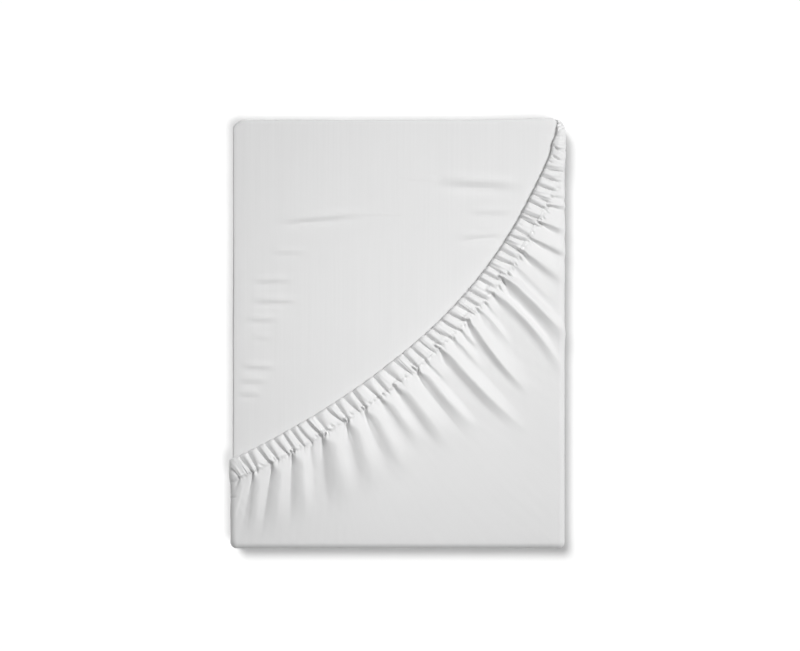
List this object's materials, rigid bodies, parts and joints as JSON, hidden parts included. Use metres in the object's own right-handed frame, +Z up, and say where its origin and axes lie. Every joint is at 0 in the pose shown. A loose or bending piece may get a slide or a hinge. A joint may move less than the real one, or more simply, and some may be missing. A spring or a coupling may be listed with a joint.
{
  "type": "folded fitted sheet",
  "caption": "Fitted bed sheet folded to a flat packet, its gathered elastic corner drawn over the front like a pocket.",
  "frame": {"origin": "middle of the packet's box, on the surface it lies on", "axes": "+Z up out of the front panel, +Y along the packet towards the end with the open folds, +X towards the side that the elastic corner wraps all the way"},
  "size_m": [0.253, 0.3238, 0.0301],
  "materials": {
    "cotton_sateen": "white cotton sateen, soft low sheen, matt in the gathers"
  },
  "bodies": {
    "root": {"fitted_sheet": "cotton_sateen"}
  },
  "joints": []
}
